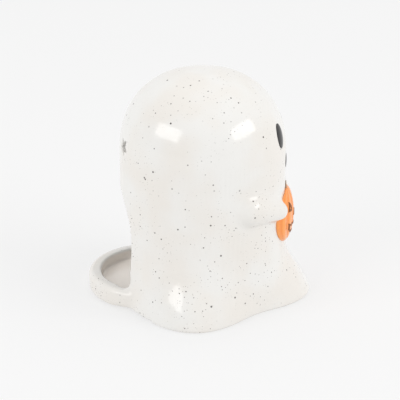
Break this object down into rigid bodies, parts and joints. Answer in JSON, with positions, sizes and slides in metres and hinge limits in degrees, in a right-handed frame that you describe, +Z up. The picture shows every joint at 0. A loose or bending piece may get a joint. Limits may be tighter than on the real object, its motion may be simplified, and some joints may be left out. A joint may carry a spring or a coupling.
{
  "type": "ceramic ghost tea-light holder",
  "caption": "Hollow glazed ceramic ghost hugging a relief pumpkin, with a star-pierced back, an open arch and a round rimmed tray that a tea light slides out on.",
  "frame": {"origin": "bottom centre of the overall box, on the surface the ghost stands on", "axes": "+Z up, -Y the way the ghost faces, +Y out along the tray, +X to the ghost's left"},
  "size_m": [0.1072, 0.1142, 0.117],
  "materials": {
    "speckled_glaze": "glossy, iron speckled",
    "orange_glaze": "glossy",
    "stem_stain": "glossy",
    "black_glaze": "glossy",
    "brown_stain": "glossy",
    "foil": "bright drawn foil",
    "wax": "satin wax",
    "tinned_steel": "stamped",
    "cotton": "braided"
  },
  "bodies": {
    "ghost": {"ghost_shell": "speckled_glaze", "base_tray": "speckled_glaze", "right_arm": "speckled_glaze", "left_arm": "speckled_glaze", "pumpkin": "orange_glaze", "pumpkin_stem": "stem_stain", "right_eye": "black_glaze", "left_eye": "black_glaze", "mouth": "black_glaze", "pumpkin_right_eye": "brown_stain", "pumpkin_left_eye": "brown_stain", "pumpkin_nose": "brown_stain", "pumpkin_mouth": "brown_stain"},
    "tealight": {"tealight_cup": "foil", "tealight_wax": "wax", "tealight_sustainer": "tinned_steel", "tealight_wick": "cotton"}
  },
  "joints": [
    {"name": "tealight_slide", "type": "slide", "parent": "ghost", "child": "tealight", "axis": [0, 1, 0], "range_m": [0, 0.03]}
  ]
}
